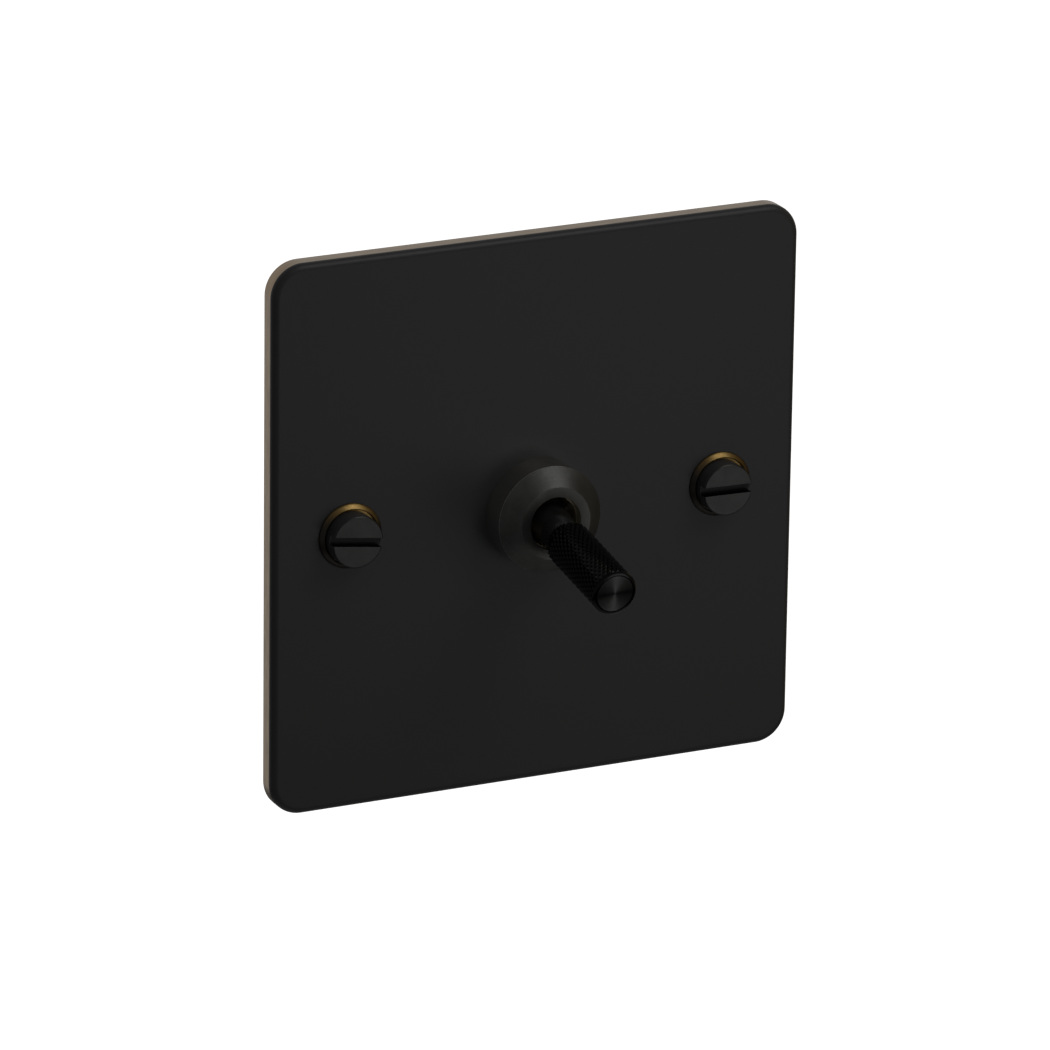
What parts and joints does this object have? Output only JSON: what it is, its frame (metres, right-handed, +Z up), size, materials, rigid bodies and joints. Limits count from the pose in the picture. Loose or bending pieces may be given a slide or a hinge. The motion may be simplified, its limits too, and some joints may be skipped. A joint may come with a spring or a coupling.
{
  "type": "toggle wall switch",
  "caption": "Single-gang square metal wall switch with a knurled toggle lever in a conical collar, slotted fixing screws and a two-way mechanism behind.",
  "frame": {"origin": "centre of the plate's rear rim, in the plane of the wall", "axes": "+Y into the wall along the fixing screws, -Y out to the user, +Z up, +X to the right as the user sees it"},
  "size_m": [0.085, 0.0554, 0.085],
  "materials": {
    "plate_black": "satin black finish over metal, bare bronze round the edge",
    "gunmetal": "satin gunmetal, fine turned finish",
    "bush_brass": "machined, slightly toned",
    "brass": "machined",
    "screw_steel": "satin dark nickel",
    "zinc_steel": "zinc plated",
    "spring_steel": "drawn wire",
    "lever_black": "black satin, turned and knurled",
    "moulding": "moulded thermoset, fine texture",
    "fibre": "pressed fibre sheet",
    "nylon": "natural nylon",
    "copper": "rolled copper strip",
    "silver": "silver alloy button"
  },
  "bodies": {
    "switch_body": {"faceplate": "plate_black", "insulating_liner": "fibre", "dress_collar": "gunmetal", "mounting_bush": "bush_brass", "pivot_pin": "zinc_steel", "lock_washer": "zinc_steel", "rear_nut": "zinc_steel", "switch_frame": "zinc_steel", "switch_case": "moulding", "dust_shield": "fibre", "common_saddle": "brass", "fixed_contact_upper": "brass", "fixed_contact_lower": "brass", "fixed_tip_upper": "silver", "fixed_tip_lower": "silver", "terminal_common": "brass", "terminal_upper": "brass", "terminal_lower": "brass", "terminal_screw_common": "zinc_steel", "terminal_screw_upper": "zinc_steel", "terminal_screw_lower": "zinc_steel", "fixing_screw_left": "screw_steel", "fixing_screw_right": "screw_steel", "seat_washer_left": "brass", "seat_washer_right": "brass", "retaining_washer_left": "fibre", "retaining_washer_right": "fibre", "earth_terminal": "brass", "earth_screw": "zinc_steel"},
    "lever": {"lever_stem": "lever_black", "knurled_grip": "lever_black", "plunger_spring": "spring_steel"},
    "plunger": {"plunger": "nylon"},
    "moving_contact": {"rocker_contact": "copper", "moving_tip_upper": "silver", "moving_tip_lower": "silver"}
  },
  "joints": [
    {"name": "lever_hinge", "type": "hinge", "parent": "switch_body", "child": "lever", "pos_m": [0, -0.0047, 0], "axis": [-1, 0, 0], "range_deg": [0, 19]},
    {"name": "plunger_slide", "type": "slide", "parent": "lever", "child": "plunger", "axis": [0, -0.9863, -0.165], "range_m": [0, 0.0008], "stiffness_N_per_m": 250, "springref_m": -0.002, "deforming": ["plunger_spring"]},
    {"name": "rocker_hinge", "type": "hinge", "parent": "switch_body", "child": "moving_contact", "pos_m": [0, 0.013, 0], "axis": [1, 0, 0], "range_deg": [0, 12]}
  ],
  "couplings": [
    {"joint": "rocker_hinge", "follows": "lever_hinge", "ratio": 0.63158}
  ]
}
